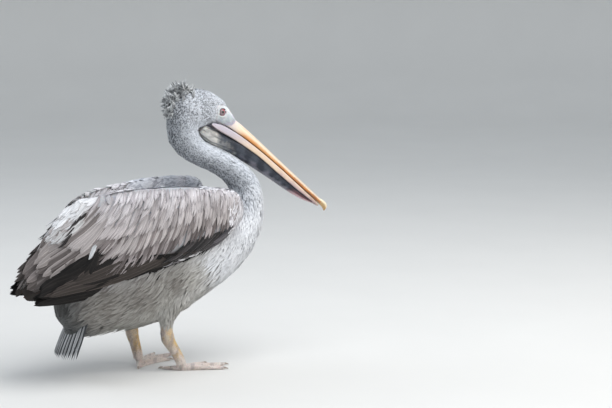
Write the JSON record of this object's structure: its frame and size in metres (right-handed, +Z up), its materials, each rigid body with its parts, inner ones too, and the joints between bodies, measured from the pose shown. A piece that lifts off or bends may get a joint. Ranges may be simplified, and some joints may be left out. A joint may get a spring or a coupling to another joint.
{
  "type": "standing pelican",
  "caption": "Life-size standing pelican with closed wings, neck drawn back into a curve and long pouched bill laid down in front of the breast.",
  "frame": {"origin": "on the floor, under the middle of the whole bird's outline seen from above", "axes": "+X the way the bird faces, +Y to its left, +Z up"},
  "size_m": [0.8552, 0.27, 0.7026],
  "materials": {
    "body_feather": "soft pale grey and white contour feathers",
    "wing_feather": "taupe grey feathers with paler shafts and edges",
    "flight_feather": "brown-black long feathers with a slight sheen",
    "bill_horn": "satin yellow-orange and cream horn",
    "pouch_skin": "soft dark slate skin, mottled",
    "leg_skin": "scaly pinkish buff skin",
    "claw": "satin horn",
    "eye": "wet and glossy"
  },
  "bodies": {
    "root": {"bill_nail": "bill_horn", "claw_left_hind": "claw", "claw_left_inner": "claw", "claw_left_middle": "claw", "claw_left_outer": "claw", "claw_right_hind": "claw", "claw_right_inner": "claw", "claw_right_middle": "claw", "claw_right_outer": "claw", "eye_left": "eye", "eye_right": "eye", "foot_left": "leg_skin", "foot_right": "leg_skin", "gular_pouch": "pouch_skin", "head": "body_feather", "lower_mandible": "bill_horn", "nape_crest": "body_feather", "neck_lower": "body_feather", "neck_middle": "body_feather", "shank_left": "leg_skin", "shank_right": "leg_skin", "tail": "wing_feather", "thigh_left": "body_feather", "thigh_right": "body_feather", "trunk": "body_feather", "upper_mandible": "bill_horn", "wing_left_coverts": "wing_feather", "wing_left_flight": "flight_feather", "wing_left_tertials": "wing_feather", "wing_right_coverts": "wing_feather", "wing_right_flight": "flight_feather", "wing_right_tertials": "wing_feather"}
  },
  "joints": []
}
